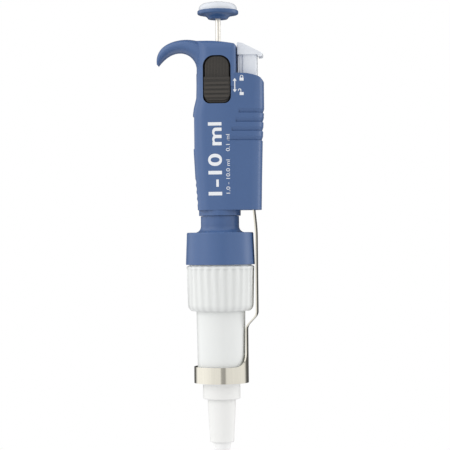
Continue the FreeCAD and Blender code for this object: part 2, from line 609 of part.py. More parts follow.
def collar_adapter():
    """Neck that is fixed in the handle, flaring to the wide collar over the coupling nut."""
    z1, f = COLLAR_Z1, 3.6
    k = f * (1 - math.sqrt(0.5))
    root = THREAD_R + THREAD_GAP
    body = revolve([
        (root, COLLAR_Z0), (COLLAR_R0 - 0.25, COLLAR_Z0), (COLLAR_R0, COLLAR_Z0 + 0.25),
        (COLLAR_R1, z1 - 0.7), (COLLAR_R1 - 0.2, z1 - 0.2, "arc"), (COLLAR_R1 - 0.7, z1),
        (NECK_R + f, z1), (NECK_R + k, z1 + k, "arc"), (NECK_R, z1 + f), (NECK_R, HANDLE_Z0 - 0.25),
        (9.95, HANDLE_Z0 - 0.25), (9.95, 138.8), (FLANGE_R + 0.2, 138.8), (FLANGE_R + 0.2, 126.7),
        (9.45, 126.7), (9.45, SEAT_Z), (5.2, SEAT_Z), (5.2, ROOF_Z), (root, ROOF_Z)])
    start = NUT_THREAD_Z + UNSCREW / 2
    return fuse([body, thread_ridge(root, THREAD_DEPTH + 0.05, start, 2.3, UNSCREW, False)])


def coupling_nut():
    """Fluted nut that holds the barrel up against the collar."""
    t = THREAD_R - THREAD_DEPTH
    bore = BORE_R + BARREL_WALL + 2 * RUN
    body = revolve([
        (TUBE_R1 + 0.25, NUT_Z0), (NUT_R0 - 2.2, NUT_Z0), (NUT_R0 - 0.6, NUT_Z0 + 1.5, "arc"),
        (NUT_R0, NUT_Z0 + 3.6), (NUT_R1, NUT_Z1 - 0.5), (NUT_R1 - 0.5, NUT_Z1), (t, NUT_Z1),
        (t, 110.2), (bore, 110.2), (bore, NUT_Z0 + 2.4), (TUBE_R1 + 0.25, NUT_Z0 + 2.4)])
    cuts = []
    for i in range(FLUTES):
        a = math.radians(360.0 * (i + 0.5) / FLUTES)
        r = NUT_R1 + 3.75
        flute = Part.makeCone(4.35, 4.3, 26.0, V(r * math.cos(a), r * math.sin(a), NUT_Z0 - 1.8), V(0, 0, 1))
        cuts.append(flute)
    return fuse([body.cut(cuts), thread_ridge(t, THREAD_DEPTH, NUT_THREAD_Z, 2.0, UNSCREW, True)])


def barrel():
    """Piston chamber above, and the tube round the tip cone's shank below."""
    r_out = BORE_R + BARREL_WALL
    socket = CONE_R1 + 2 * RUN
    body = revolve([
        (BORE_R, FLOOR_Z1), (BORE_R, BARREL_TOP), (r_out, BARREL_TOP), (r_out, NUT_Z0 + 2.5),
        (TUBE_R1, NUT_Z0 + 2.5), (TUBE_R0, TUBE_Z0), (TUBE_R0 - 1.4, TUBE_Z0),
        (TUBE_R1 - 1.7, NUT_Z0 - 0.5), (socket, NUT_Z0 - 3.5), (socket, FLOOR_Z0),
        (SPIGOT_R + RUN, FLOOR_Z0), (SPIGOT_R + RUN, FLOOR_Z1)])
    r = CONE_R1 + SLIDE
    ring = revolve([(r, 46.0), (TUBE_R0 - 1.0, 46.0), (TUBE_R0 - 1.0, 47.6), (r, 47.6)])
    return fuse([body, ring])


def barrel_gasket():
    r = BORE_R + BARREL_WALL
    return revolve([(BORE_R + 0.1, BARREL_TOP), (r - 0.1, BARREL_TOP), (r - 0.1, ROOF_Z - SEAT),
                    (BORE_R + 0.1, ROOF_Z - SEAT)])


def tip_cone():
    """Cone that the disposable tip is pushed on. Its shank screws into the barrel's floor."""
    shank, top = CONE_R1 - 1.1, FLOOR_Z0 - SEAT
    outer = [(FILTER_R + RUN, 0.0), (CONE_R0 - 0.5, 0.0), (CONE_R0, 0.5), (CONE_R0, CONE_LAND),
             (CONE_R1, CONE_TAPER_Z), (CONE_R1, 47.8), (shank, 49.0), (shank, top), (SPIGOT_R + 1.05, top),
             (SPIGOT_R + 1.05, top - 1.05), (SPIGOT_R, top - 1.05), (SPIGOT_R, FLOOR_Z1 - 0.4),
             (2.2, FLOOR_Z1 - 0.4), (2.2, 30.0), (FILTER_R - 0.6, 26.0), (FILTER_R - 0.6, 11.0),
             (FILTER_R + RUN, 11.0)]
    return revolve(outer)


def cone_o_ring():
    """Seal in the groove at the shank's shoulder, round the spigot."""
    return Part.makeTorus(SPIGOT_R + 0.52, 0.47, V(0, 0, FLOOR_Z0 - SEAT - 0.55), V(0, 0, 1))


def filter_plug():
    r = FILTER_R
    return revolve([(0, -FILTER_OUT), (r - 0.7, -FILTER_OUT), (r - 0.2, -FILTER_OUT + 0.2, "arc"),
                    (r, -FILTER_OUT + 0.7), (r, 10.9), (0, 10.9)])


# ------------------------------------------------------------------ ejector
def arm_section(x_out, z, half):
    """Outline of the arm at height z: a thin gutter, curved like the band."""
    ro, ri = BAND_R, BAND_R - STEEL
    cx = x_out - BAND_R
    xo, xi = math.sqrt(ro * ro - half * half), math.sqrt(ri * ri - half * half)
    return Part.Wire([
        Part.Arc(V(cx + xo, -half, z), V(cx + ro, 0, z), V(cx + xo, half, z)).toShape(),
        Part.makeLine(V(cx + xo, half, z), V(cx + xi, half, z)),
        Part.Arc(V(cx + xi, half, z), V(cx + ri, 0, z), V(cx + xi, -half, z)).toShape(),
        Part.makeLine(V(cx + xi, -half, z), V(cx + xo, -half, z))])


def ejector_arm():
    """Steel strip: a band round the tube, an arm that steps outward past the nut and up."""
    band = tube(BAND_R, BAND_R - STEEL, BAND_Z0, BEND_Z0)
    h, f = ARM_HALF, 9.0
    left, right = [], []
    for y, s in ((-h, -1), (h, 1)):
        z = BAND_Z1
        k = f * (1 - math.sqrt(0.5))
        edges = [Part.Arc(V(0, y + s * f, z), V(0, y + s * k, z + k), V(0, y, z + f)).toShape(),
                 Part.makeLine(V(0, y, z + f), V(0, y, 80)),
                 Part.makeLine(V(0, y, 80), V(0, y + s * 40, 80)),
                 Part.makeLine(V(0, y + s * 40, 80), V(0, y + s * 40, z)),
                 Part.makeLine(V(0, y + s * 40, z), V(0, y + s * f, z))]
        left.append(Part.Face(Part.Wire(edges)).extrude(V(40, 0, 0)))
    behind = box(-40, 0, -40, 40, BAND_Z1, 90)
    lower = band.cut(left + [behind])
    steps = 8
    wires = []
    for i in range(steps + 1):
        t = i / steps
        s = t * t * t * (t * (6 * t - 15) + 10)
        x = BAND_R + (ARM_OUT_X - BAND_R) * s
        wires.append(arm_section(x, BEND_Z0 + (BEND_Z1 - BEND_Z0) * t, h))
    bend = Part.makeLoft(wires, True, False)
    straight = Part.makeLoft([arm_section(ARM_OUT_X, z, h) for z in (BEND_Z1, 118.0)], True, True)
    wires = []
    for i in range(5):
        s = (1 - math.cos(math.pi * i / 4)) / 2
        wires.append(arm_section(ARM_OUT_X + (ARM_TOP_X - ARM_OUT_X) * s, 118.0 + 7.0 * i, h))
    lean = Part.makeLoft(wires, True, False)
    end = Part.makeLoft([arm_section(ARM_TOP_X, z, h) for z in (146.0, ARM_TOP)], True, True)
    hole = Part.makeCylinder(1.05, 20.0, V(10.0, 0, SCREW_Z), V(1, 0, 0))
    return fuse([lower, bend, straight, lean, end]).cut(hole)


def push_ring():
    """Plastic ring in the band. It slides on the cone and pushes the tip off."""
    r = CONE_R1 + 0.25
    rim = BAND_R - STEEL - 0.05
    z = RING_Z1
    return revolve([(r, RING_Z0), (RING_R - 0.5, RING_Z0), (RING_R, RING_Z0 + 0.5), (RING_R, z - 1.8),
                    (RING_R + 0.6, z - 1.1), (rim, z - 0.5), (rim, z), (r, z)])


def ejector_rod():
    """Carrier that joins the button to the steel arm, and guides the return spring."""
    foot = box(14.6, 19.05, -2.4, 2.4, 146.0, LEDGE_Z0 - SEAT)
    stem = cyl(2.0, 156.0, 199.0, ROD_X)
    plate = slab(frame_box(11.7, 22.6, -5.6, 5.6, 1.2), 196.0, 199.0)
    spigot = slab(frame_box(STEM_X0 - 0.3 + SLIDE, STEM_X1 - 1.4 - SLIDE, -4.5 + SLIDE, 4.5 - SLIDE, 0.8),
                  198.0, 203.0)
    pin_hole = Part.makeCylinder(0.8, 20.0, V(15.5, 0, SCREW_Z), V(1, 0, 0))
    return fuse([foot, stem, plate, spigot]).cut(pin_hole)


def arm_screw():
    """Screw through the arm into the carrier."""
    x = ARM_TOP_X
    head = Part.makeCylinder(1.9, 1.2, V(x + 0.02, 0, SCREW_Z), V(1, 0, 0))
    shank = Part.makeCylinder(1.0, 1.0, V(x - 0.9, 0, SCREW_Z), V(1, 0, 0))
    thread = Part.makeCylinder(0.78, 3.6, V(x - 4.4, 0, SCREW_Z), V(1, 0, 0))
    slot = box(x + 0.7, x + 2.0, -2.5, 2.5, SCREW_Z - 0.25, SCREW_Z + 0.25)
    return fuse([head, shank, thread]).cut(slot)


def ejector_button():
    """Thumb piece beside the upper body: a sloping head on a hollow stem."""
    x0, x1, z = HEAD_X0, HEAD_X1, THUMB_Z0
    stem = slab(frame_box(STEM_X0, STEM_X1, -STEM_Y, STEM_Y, 1.2), 199.1, z + 2.5)
    strip = slab(frame_box(STRIP_X0, STEM_X0 + 2.0, -STRIP_Y, STRIP_Y, 0.6), 199.1, z + 2.5)
    outline = [(x0, z + 1.2, 0.3), (x1 - 2.8, z + 1.2, 0.4), (x1 - 2.5, z, 0.25), (x1 - 0.1, z + 0.2, 0.5),
               (x1, z + 2.1, 0.6), (x0 + 3.0, z + 7.9, 2.5), (x0, z + 8.4, 0.8)]
    head = plate_y(outline, -8.0, 8.0)
    near, far = x0 - 0.05, x1 + 0.1
    soften = slab([(near, -7.6, 0.8), (far, -6.6, 2.6), (far, 6.6, 2.6), (near, 7.6, 0.8)], z - 7.5, z + 17.5)
    hollow = slab(frame_box(STEM_X0 - 0.3, STEM_X1 - 1.4, -4.5, 4.5, 0.9), 190.0, z - 0.5)
    return fuse([stem, strip, head.common(soften)]).cut(hollow)


def ejector_spring():
    s = coil(3.0, 0.4, LEDGE_Z1 + 0.05, 195.95, 11)
    s.translate(V(ROD_X, 0, 0))
    return s


# ------------------------------------------------------------------ build
os.makedirs("parts", exist_ok=True)
front, back = handle_shells()
PIECES = {
    "handle_shell_front": front,
    "handle_shell_back": back,
    "top_bushing": top_bushing(),
    "display_window": display_window(),
    "counter_frame": counter_frame(),
    "lock_plate": lock_plate(),
    "lock_slider": lock_slider(),
    "lock_pawl": lock_pawl(),
    "drive_sleeve": drive_sleeve(),
    "drum_tenths": drum(DRUM_Z0, 4.0 + RUN, 20),
    "drum_units": drum(DRUM_Z0 + DRUM_STEP, 4.0 + RUN, 20),
    "drum_tens": drum(DRUM_Z0 + 2 * DRUM_STEP, 4.0 + RUN, 20),
    "nut_guide": nut_guide(),
    "stop_nut": stop_nut(),
    "plunger_rod": plunger_rod(),
    "push_button": push_button(),
    "button_cap": button_cap(),
    "rod_clip": rod_clip(),
    "rod_foot": rod_foot(),
    "rod_spring": coil(ROD_R + 1.1, 0.3, SLEEVE_TOP + 0.1, CLIP_Z0 - 0.1, 8),
    "piston_stem": piston_stem(),
    "piston_head": piston_head(),
    "piston_seal": piston_seal(),
    "main_spring": coil(5.9, 0.5, SEAT_Z + 0.95, FLANGE_Z0 - 0.1, 7),
    "blowout_disc": blowout_disc(),
    "blowout_spring": coil(8.3, 0.6, SEAT_Z + 0.95, 124.95, 3),
    "spring_seat": spring_seat(),
    "collar_adapter": collar_adapter(),
    "coupling_nut": coupling_nut(),
    "barrel": barrel(),
    "barrel_gasket": barrel_gasket(),
    "tip_cone": tip_cone(),
    "cone_o_ring": cone_o_ring(),
    "filter_plug": filter_plug(),
    "ejector_button": ejector_button(),
    "ejector_rod": ejector_rod(),
    "ejector_spring": ejector_spring(),
    "ejector_arm": ejector_arm(),
    "push_ring": push_ring(),
    "arm_screw": arm_screw(),
}
for node, shape in PIECES.items():
    shape.exportStep("parts/" + node + ".step")
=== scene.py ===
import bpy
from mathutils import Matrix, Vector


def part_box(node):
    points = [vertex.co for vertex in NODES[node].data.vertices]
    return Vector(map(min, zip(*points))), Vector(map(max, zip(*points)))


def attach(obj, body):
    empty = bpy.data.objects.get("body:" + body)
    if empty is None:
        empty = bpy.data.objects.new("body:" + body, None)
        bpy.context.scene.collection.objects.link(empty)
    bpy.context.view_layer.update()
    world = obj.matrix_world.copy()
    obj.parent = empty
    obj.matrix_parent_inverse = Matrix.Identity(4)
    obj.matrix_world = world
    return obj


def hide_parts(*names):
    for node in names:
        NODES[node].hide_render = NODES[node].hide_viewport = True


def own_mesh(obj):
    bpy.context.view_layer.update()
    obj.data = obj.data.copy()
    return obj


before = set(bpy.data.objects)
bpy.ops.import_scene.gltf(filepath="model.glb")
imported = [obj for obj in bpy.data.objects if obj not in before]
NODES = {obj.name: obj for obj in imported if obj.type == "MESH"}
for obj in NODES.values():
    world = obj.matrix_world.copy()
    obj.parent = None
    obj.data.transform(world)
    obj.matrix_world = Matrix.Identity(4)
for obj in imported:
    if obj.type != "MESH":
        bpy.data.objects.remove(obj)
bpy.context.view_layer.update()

import math

import bmesh
import bpy
from bpy.props import FloatProperty, FloatVectorProperty, IntProperty, PointerProperty
from mathutils import Matrix, Vector
from mathutils.bvhtree import BVHTree

bl_info = {
    "name": "Laboratory Pipette Finish",
    "version": (1, 0, 0),
    "blender": (4, 5, 0),
    "location": "View3D > Sidebar > Pipette",
    "description": "Finishes an adjustable pipette: surfaces, springs, number drums and printed marks",
    "category": "Object",
}

MM = 0.001

# Places on the CAD nodes that the painted shade in the grooves and in the lock's pocket follows
PLATE_LINE_X, PLATE_LINE_PITCH = 0.43 * MM, 0.86 * MM
PAD_RIB_Z, PAD_RIB_PITCH = 199.5 * MM, 2.5 * MM
NUT_FLUTES = 26
POCKET_Z, POCKET_HALF_HIGH, POCKET_HALF_WIDE = 209.2 * MM, 13.8 * MM, 8.0 * MM
POCKET_LOW_CORNER, POCKET_HIGH_CORNER = 4.0 * MM, 6.4 * MM
POCKET_MARGIN = 0.06 * MM
FRONT_WALL_Y = -8.5 * MM

# Relief of the two surface textures
GRAIN_HEIGHT, LINE_HEIGHT = 0.02 * MM, 0.01 * MM

# Travel of the plunger and ejector joints, listed with each spring
PRESS_TRAVEL, BLOWOUT_TRAVEL, EJECT_TRAVEL = 14.0 * MM, 1.5 * MM, 9.0 * MM

# Drums, printed marks and stage
DIGIT_STEP = math.radians(36.0)
MARK_STRIP_X, MARK_STRIP_Z, DIGIT_STRIP = 0.8 * MM, 2.0 * MM, 0.5 * MM
SMALL_MARK = 0.27
AHEAD_OF_HANDLE = -0.05
FLOOR_HALF = 0.6
DARK_STRIP_TURN = 0.22
LIT_POINT = Vector((0, 0, 0.13))
SENSOR_WIDTH = 36.0


# ---------------------------------------------------------------- settings
def colour(name, value, about):
    return FloatVectorProperty(name=name, description=about, subtype="COLOR", size=3,
                               min=0.0, max=1.0, default=value)


class PipetteColours(bpy.types.PropertyGroup):
    """Base colours of the pipette's finishes, linear."""
    shell: colour("Shell", (0.064, 0.128, 0.290), "Blue plastic of the handle and collar")
    button: colour("Button", (0.046, 0.106, 0.250), "Blue plastic of the push button")
    barrel: colour("Barrel", (0.83, 0.845, 0.83), "White plastic of the barrel and coupling nut")
    cone: colour("Tip cone", (0.89, 0.89, 0.87), "Natural plastic of the tip cone and push ring")
    filter: colour("Filter", (0.97, 0.97, 0.95), "Porous filter plug")
    ejector: colour("Ejector button", (0.80, 0.83, 0.88), "Light grey plastic of the ejector")
    cap: colour("Cap", (0.71, 0.74, 0.79), "Pale plastic of the button's cap")
    # the lock's colour also tints the painted shade in its pocket
    lock: colour("Lock", (0.046, 0.039, 0.032), "Dark plastic of the volume lock")
    steel: colour("Steel", (0.76, 0.73, 0.64), "Bright steel of the ejector arm")
    rod: colour("Rod", (0.78, 0.75, 0.69), "Ground steel of the plunger rod")
    marks: colour("Marks", (0.85, 0.87, 0.90), "Ink of the printed marks")
    digits: colour("Digits", (0.02, 0.02, 0.025), "Ink of the drum numerals")


class PipetteSizes(bpy.types.PropertyGroup):
    """Sizes that shape the added pieces."""
    print_height: FloatProperty(name="Print height", description="How far printed ink stands off",
                                default=0.03 * MM, unit="LENGTH")
    digit_height: FloatProperty(name="Digit height", description="Height of a numeral on a drum",
                                default=4.3 * MM, unit="LENGTH")
    lettering: FloatProperty(name="Lettering", description="Height of the range marking",
                             default=8.0 * MM, unit="LENGTH")
    wire_sides: IntProperty(name="Wire sides", description="Faces round a spring's wire",
                            default=10, min=4)


class StageSettings(bpy.types.PropertyGroup):
    """Camera, floor and light."""
    distance: FloatProperty(name="Distance", description="Camera to the pipette's axis",
                            default=1.0, unit="LENGTH")
    azimuth: FloatProperty(name="Azimuth", description="Camera's turn round the pipette",
                           default=math.radians(4.8), subtype="ANGLE")
    height: FloatProperty(name="Height", description="Camera's height",
                          default=0.115, unit="LENGTH")
    aim_x: FloatProperty(name="Aim across", description="Point that the camera looks at, across",
                         default=0.0029, unit="LENGTH")
    aim_z: FloatProperty(name="Aim up", description="Point that the camera looks at, up",
                         default=0.1256, unit="LENGTH")
    roll: FloatProperty(name="Roll", description="Camera's lean",
                        default=math.radians(-0.6), subtype="ANGLE")
    lens: FloatProperty(name="Lens", description="Focal length in millimetres", default=137.9)
    floor_z: FloatProperty(name="Floor", description="Height of the floor",
                           default=-0.09, unit="LENGTH")
    key: FloatProperty(name="Key light", description="Power of the left light, in watts",
                       default=1.3)
    rim: FloatProperty(name="Rim light", description="Power of the right light, in watts",
                       default=1.1)
    tent_top: FloatProperty(name="Tent above", description="Soft light from above", default=1.22)
    tent_low: FloatProperty(name="Tent below", description="Soft light from below", default=0.76)
    tent_side: FloatProperty(name="Tent side", description="How much brighter the left is",
                             default=0.11)


# ---------------------------------------------------------------- shader building
def link(tree, a, b):
    tree.links.new(a, b)


def new_group(name, inputs, outputs):
    """A shader group with its sockets and its two ends."""
    tree = bpy.data.node_groups.new(name, "ShaderNodeTree")
    for label, kind, value in inputs:
        socket = tree.interface.new_socket(name=label, in_out="INPUT", socket_type=kind)
        if value is not None:
            socket.default_value = value
    for label, kind in outputs:
        tree.interface.new_socket(name=label, in_out="OUTPUT", socket_type=kind)
    return tree, tree.nodes.new("NodeGroupInput"), tree.nodes.new("NodeGroupOutput")


def node(tree, kind, **settings):
    """A new node with its settings."""
    made = tree.nodes.new(kind)
    for key, value in settings.items():
        setattr(made, key, value)
    return made


def maths(tree, operation, a, b=None, c=None, clamp=False):
    """A math node's result, from numbers or sockets."""
    made = node(tree, "ShaderNodeMath", operation=operation, use_clamp=clamp)
    for i, value in enumerate((a, b, c)):
        if value is None:
            continue
        if isinstance(value, (int, float)):
            made.inputs[i].default_value = value
        else:
            link(tree, value, made.inputs[i])
    return made.outputs[0]


def ramp(tree, value, start, end, at_start, at_end):
    """Goes smoothly from at_start to at_end while value goes from start to end."""
    made = node(tree, "ShaderNodeMapRange", interpolation_type="SMOOTHSTEP")
    link(tree, value, made.inputs["Value"])
    for label, number in (("From Min", start), ("From Max", end), ("To Min", at_start), ("To Max", at_end)):
        made.inputs[label].default_value = number
    return made.outputs["Result"]


def axes(tree, vector):
    """The three parts of a vector."""
    split = node(tree, "ShaderNodeSeparateXYZ")
    link(tree, vector, split.inputs[0])
    return split.outputs


def object_coords(tree):
    return node(tree, "ShaderNodeTexCoord").outputs["Object"]


def noise(tree, vector, scale, detail, roughness=0.55):
    """Noise from a vector, with its scale from a socket."""
    made = node(tree, "ShaderNodeTexNoise")
    made.inputs["Detail"].default_value = detail
    made.inputs["Roughness"].default_value = roughness
    link(tree, scale, made.inputs["Scale"])
    link(tree, vector, made.inputs["Vector"])
    return made.outputs["Fac"]


def grain_group():
    """Fine texture of a moulded surface, slow changes of tone, and worn patches."""
    tree, ends, out = new_group(
        "moulded_grain",
        [("Vector", "NodeSocketVector", None), ("Grain Scale", "NodeSocketFloat", 2600.0),
         ("Drift Scale", "NodeSocketFloat", 35.0)],
        [("Height", "NodeSocketFloat"), ("Drift", "NodeSocketFloat"), ("Sheen Mask", "NodeSocketFloat")])
    vector = ends.outputs["Vector"]
    fine = noise(tree, vector, ends.outputs["Grain Scale"], 2.0, 0.6)
    pits = node(tree, "ShaderNodeTexVoronoi", feature="SMOOTH_F1")
    link(tree, vector, pits.inputs["Vector"])
    link(tree, maths(tree, "MULTIPLY", ends.outputs["Grain Scale"], 0.7), pits.inputs["Scale"])
    height = maths(tree, "MULTIPLY_ADD", pits.outputs["Distance"], 0.6, fine)
    link(tree, height, out.inputs["Height"])
    drift = noise(tree, vector, ends.outputs["Drift Scale"], 4.0, 0.6)
    link(tree, maths(tree, "SUBTRACT", drift, 0.5), out.inputs["Drift"])
    patches = maths(tree, "MULTIPLY", ends.outputs["Drift Scale"], 3.1)
    touch = noise(tree, vector, patches, 5.0, 0.65)
    link(tree, maths(tree, "SUBTRACT", touch, 0.45, clamp=True), out.inputs["Sheen Mask"])
    return tree


def lines_group():
    """Fine parallel lines left by drawing, grinding or moulding, uneven along their length."""
    tree, ends, out = new_group(
        "drawn_lines",
        [("Vector", "NodeSocketVector", None), ("Line Scale", "NodeSocketFloat", 900.0),
         ("Stretch", "NodeSocketVector", (1.0, 1.0, 0.02))],
        [("Height", "NodeSocketFloat"), ("Tone", "NodeSocketFloat")])
    scaled = node(tree, "ShaderNodeVectorMath", operation="MULTIPLY")
    link(tree, ends.outputs["Vector"], scaled.inputs[0])
    link(tree, ends.outputs["Stretch"], scaled.inputs[1])
    fine = noise(tree, scaled.outputs[0], ends.outputs["Line Scale"], 3.0, 0.7)
    coarse = maths(tree, "MULTIPLY", ends.outputs["Line Scale"], 0.12)
    broad = noise(tree, scaled.outputs[0], coarse, 2.0)
    link(tree, fine, out.inputs["Height"])
    link(tree, maths(tree, "ADD", maths(tree, "SUBTRACT", fine, 0.5),
                     maths(tree, "SUBTRACT", broad, 0.5)), out.inputs["Tone"])
    return tree


GROUPS = {}


def textured(tree, coords, build, **values):
    """The shared group that build makes, fed with Object coordinates and these values."""
    if build not in GROUPS:
        GROUPS[build] = build()
    made = node(tree, "ShaderNodeGroup", node_tree=GROUPS[build])
    link(tree, coords, made.inputs["Vector"])
    for key, value in values.items():
        made.inputs[key.replace("_", " ")].default_value = value
    return made.outputs


def start_material(name, base, roughness, **sockets):
    """A new material with its tree, shader and Object coordinates."""
    mat = bpy.data.materials.new(name)
    mat.use_nodes = True
    tree = mat.node_tree
    shader = tree.nodes["Principled BSDF"]
    shader.inputs["Base Color"].default_value = (*base, 1.0)
    shader.inputs["Roughness"].default_value = roughness
    for key, value in sockets.items():
        shader.inputs[key.replace("_", " ")].default_value = value
    return mat, tree, shader, object_coords(tree)


def tint(tree, base, factor, spread):
    """base, lighter or darker as factor (about 0) rises or falls."""
    mix = node(tree, "ShaderNodeMix", data_type="RGBA", clamp_factor=True)
    mix.inputs["A"].default_value = (*[max(0.0, c * (1 - spread)) for c in base], 1.0)
    mix.inputs["B"].default_value = (*[min(1.0, c * (1 + spread)) for c in base], 1.0)
    link(tree, maths(tree, "ADD", factor, 0.5, clamp=True), mix.inputs["Factor"])
    return mix.outputs["Result"]


def bump(tree, shader, height, strength, distance):
    """Feeds the shader's Normal from a height."""
    made = node(tree, "ShaderNodeBump")
    made.inputs["Strength"].default_value = strength
    made.inputs["Distance"].default_value = distance
    link(tree, height, made.inputs["Height"])
    link(tree, made.outputs["Normal"], shader.inputs["Normal"])


def plastic(name, base, roughness, grain, depth, spread, marks=0.12):
    """Moulded plastic: fine grain, faint changes of tone, and slightly shinier handled patches."""
    mat, tree, shader, coords = start_material(name, base, roughness)
    texture = textured(tree, coords, grain_group, Grain_Scale=grain)
    link(tree, tint(tree, base, texture["Drift"], spread), shader.inputs["Base Color"])
    link(tree, maths(tree, "MULTIPLY_ADD", texture["Sheen Mask"], -marks * 2, roughness),
         shader.inputs["Roughness"])
    bump(tree, shader, texture["Height"], depth, GRAIN_HEIGHT)
    return mat


def metal(name, base, roughness, scale, stretch=(1.0, 1.0, 0.02), depth=0.25, spread=0.08):
    """Bright metal with drawn or ground lines."""
    mat, tree, shader, coords = start_material(name, base, roughness, Metallic=1.0)
    texture = textured(tree, coords, lines_group, Line_Scale=scale, Stretch=stretch)
    link(tree, tint(tree, base, texture["Tone"], spread), shader.inputs["Base Color"])
    link(tree, maths(tree, "MULTIPLY_ADD", texture["Tone"], 0.12, roughness, clamp=True),
         shader.inputs["Roughness"])
    bump(tree, shader, texture["Height"], depth, LINE_HEIGHT)
    return mat


def stripes(tree, value, start, pitch):
    """0 at start and at each whole pitch from it, 1 half way between."""
    turns = maths(tree, "MULTIPLY", maths(tree, "SUBTRACT", value, start), 2.0 * math.pi / pitch)
    return maths(tree, "MULTIPLY_ADD", maths(tree, "COSINE", turns), -0.5, 0.5)


def grooved(mat, pattern, low):
    """Paints shade into the bottoms of a finish's grooves: its colour there falls to low times itself."""
    tree = mat.node_tree
    x, y, z = axes(tree, object_coords(tree))
    if pattern == "upright":
        mask = stripes(tree, x, PLATE_LINE_X, PLATE_LINE_PITCH)
    elif pattern == "across":
        mask = stripes(tree, z, PAD_RIB_Z, PAD_RIB_PITCH)
    else:
        mask = stripes(tree, maths(tree, "ARCTAN2", y, x), 0.0, 2.0 * math.pi / NUT_FLUTES)
    base = tree.nodes["Principled BSDF"].inputs["Base Color"]
    # painted shade: the colour is multiplied down towards low along the groove bottoms
    mix = node(tree, "ShaderNodeMix", data_type="RGBA", blend_type="MULTIPLY")
    link(tree, mask, mix.inputs["Factor"])
    link(tree, base.links[0].from_socket, mix.inputs["A"])
    mix.inputs["B"].default_value = (low, low, low, 1.0)
    link(tree, mix.outputs["Result"], base)


def well_mask(tree, coords):
    """1 inside the rounded outline of the pocket that the volume lock lies in, where shade is painted."""
    x, y, z = axes(tree, coords)
    up = maths(tree, "SUBTRACT", z, POCKET_Z)
    corner = maths(tree, "MULTIPLY_ADD", maths(tree, "GREATER_THAN", up, 0.0),
                   POCKET_HIGH_CORNER - POCKET_LOW_CORNER, POCKET_LOW_CORNER)
    reach = []
    for value, half in ((x, POCKET_HALF_WIDE), (up, POCKET_HALF_HIGH)):
        over = maths(tree, "ADD", maths(tree, "SUBTRACT", maths(tree, "ABSOLUTE", value), half), corner)
        reach.append(maths(tree, "MAXIMUM", over, 0.0))
    square = [maths(tree, "MULTIPLY", v, v) for v in reach]
    out = maths(tree, "SUBTRACT", maths(tree, "SQRT", maths(tree, "ADD", *square)), corner)
    near = maths(tree, "LESS_THAN", out, POCKET_MARGIN)
    return maths(tree, "MULTIPLY", near, maths(tree, "LESS_THAN", y, FRONT_WALL_Y))


def shell_plastic(name, base, dark):
    """Satin blue plastic, with painted shade inside the lock's pocket: near black there, and rougher."""
    mat, tree, shader, coords = start_material(name, base, 0.36)
    texture = textured(tree, coords, grain_group, Grain_Scale=2400.0)
    mix = node(tree, "ShaderNodeMix", data_type="RGBA")
    mask = well_mask(tree, coords)
    link(tree, mask, mix.inputs["Factor"])
    link(tree, tint(tree, base, texture["Drift"], 0.05), mix.inputs["A"])
    # painted shade: the pocket is coloured 0.04 times the lock's colour, near black
    mix.inputs["B"].default_value = (*[0.04 * v for v in dark], 1.0)
    link(tree, mix.outputs["Result"], shader.inputs["Base Color"])
    worn = maths(tree, "MULTIPLY_ADD", texture["Sheen Mask"], -0.2, 0.38)
    link(tree, maths(tree, "MULTIPLY_ADD", mask, 0.5, worn, clamp=True), shader.inputs["Roughness"])
    bump(tree, shader, texture["Height"], 0.35, GRAIN_HEIGHT)
    return mat


def lens_plastic(name):
    """Clear moulded plastic, a little rougher where it is handled."""
    mat, tree, shader, coords = start_material(name, (0.96, 0.98, 1.0), 0.03, IOR=1.49,
                                               Transmission_Weight=1.0)
    texture = textured(tree, coords, grain_group)
    link(tree, maths(tree, "MULTIPLY_ADD", texture["Sheen Mask"], 0.08, 0.03),
         shader.inputs["Roughness"])
    return mat


MATERIALS = {}

# Plastics: base colour or its setting, roughness, grain, depth, spread and marks
WHITE = (2600.0, 0.02, 0.006, 0.02)
PLASTICS = {
    "button_blue": ("button", 0.36, 3000.0, 0.25, 0.05),
    "barrel_white": ("barrel", 0.30, *WHITE),
    "nut_white": ("barrel", 0.30, *WHITE),
    "cone_white": ("cone", 0.36, 2200.0, 0.02, 0.008, 0.02),
    "filter_porous": ("filter", 0.85, 1900.0, 1.0, 0.12, 0.0),
    "cap_pale": ("cap", 0.25, 2200.0, 0.08, 0.02, 0.05),
    "ejector_grey": ("ejector", 0.28, 2200.0, 0.12, 0.02),
    "lock_lined": ("lock", 0.50, 2800.0, 0.5, 0.15),
    "lock_ribbed": ("lock", 0.46, 2800.0, 0.5, 0.15),
    "inner_dark": ((0.03, 0.03, 0.033), 0.5, 2000.0, 0.3, 0.1),
    "drum_white": ((0.80, 0.80, 0.77), 0.45, 2500.0, 0.2, 0.02),
    "rubber_black": ((0.02, 0.02, 0.02), 0.6, 1500.0, 0.4, 0.2),
    "print_white": ("marks", 0.5, 3000.0, 0.3, 0.04),
    "print_black": ("digits", 0.5, 3000.0, 0.3, 0.2),
}
# Grooves with painted shade in their bottoms: their pattern, and how much colour is left in them
GROOVE_SHADE = {"nut_white": ("fluted", 0.88), "lock_lined": ("upright", 0.45), "lock_ribbed": ("across", 0.40)}


def material(name):
    """Each finish is made once, from the colour settings."""
    if name in MATERIALS:
        return MATERIALS[name]
    c = bpy.context.scene.pipette_colours
    if name in PLASTICS:
        base, *looks = PLASTICS[name]
        made = plastic(name, getattr(c, base) if isinstance(base, str) else base, *looks)
        if name in GROOVE_SHADE:
            grooved(made, *GROOVE_SHADE[name])
    elif name == "shell_blue":
        made = shell_plastic(name, c.shell, c.lock)
    elif name == "steel_arm":
        made = metal(name, c.steel, 0.09, 1100.0, depth=0.12)
    elif name == "steel_rod":
        made = metal(name, c.rod, 0.34, 1600.0, stretch=(0.04, 0.04, 1.0), spread=0.04)
    elif name == "spring_wire":
        made = metal(name, (0.52, 0.51, 0.49), 0.3, 700.0, stretch=(1.0, 1.0, 1.0), spread=0.15)
    elif name == "lens_clear":
        made = lens_plastic(name)
    else:
        raise ValueError("no finish is named " + name)
    MATERIALS[name] = made
    return made


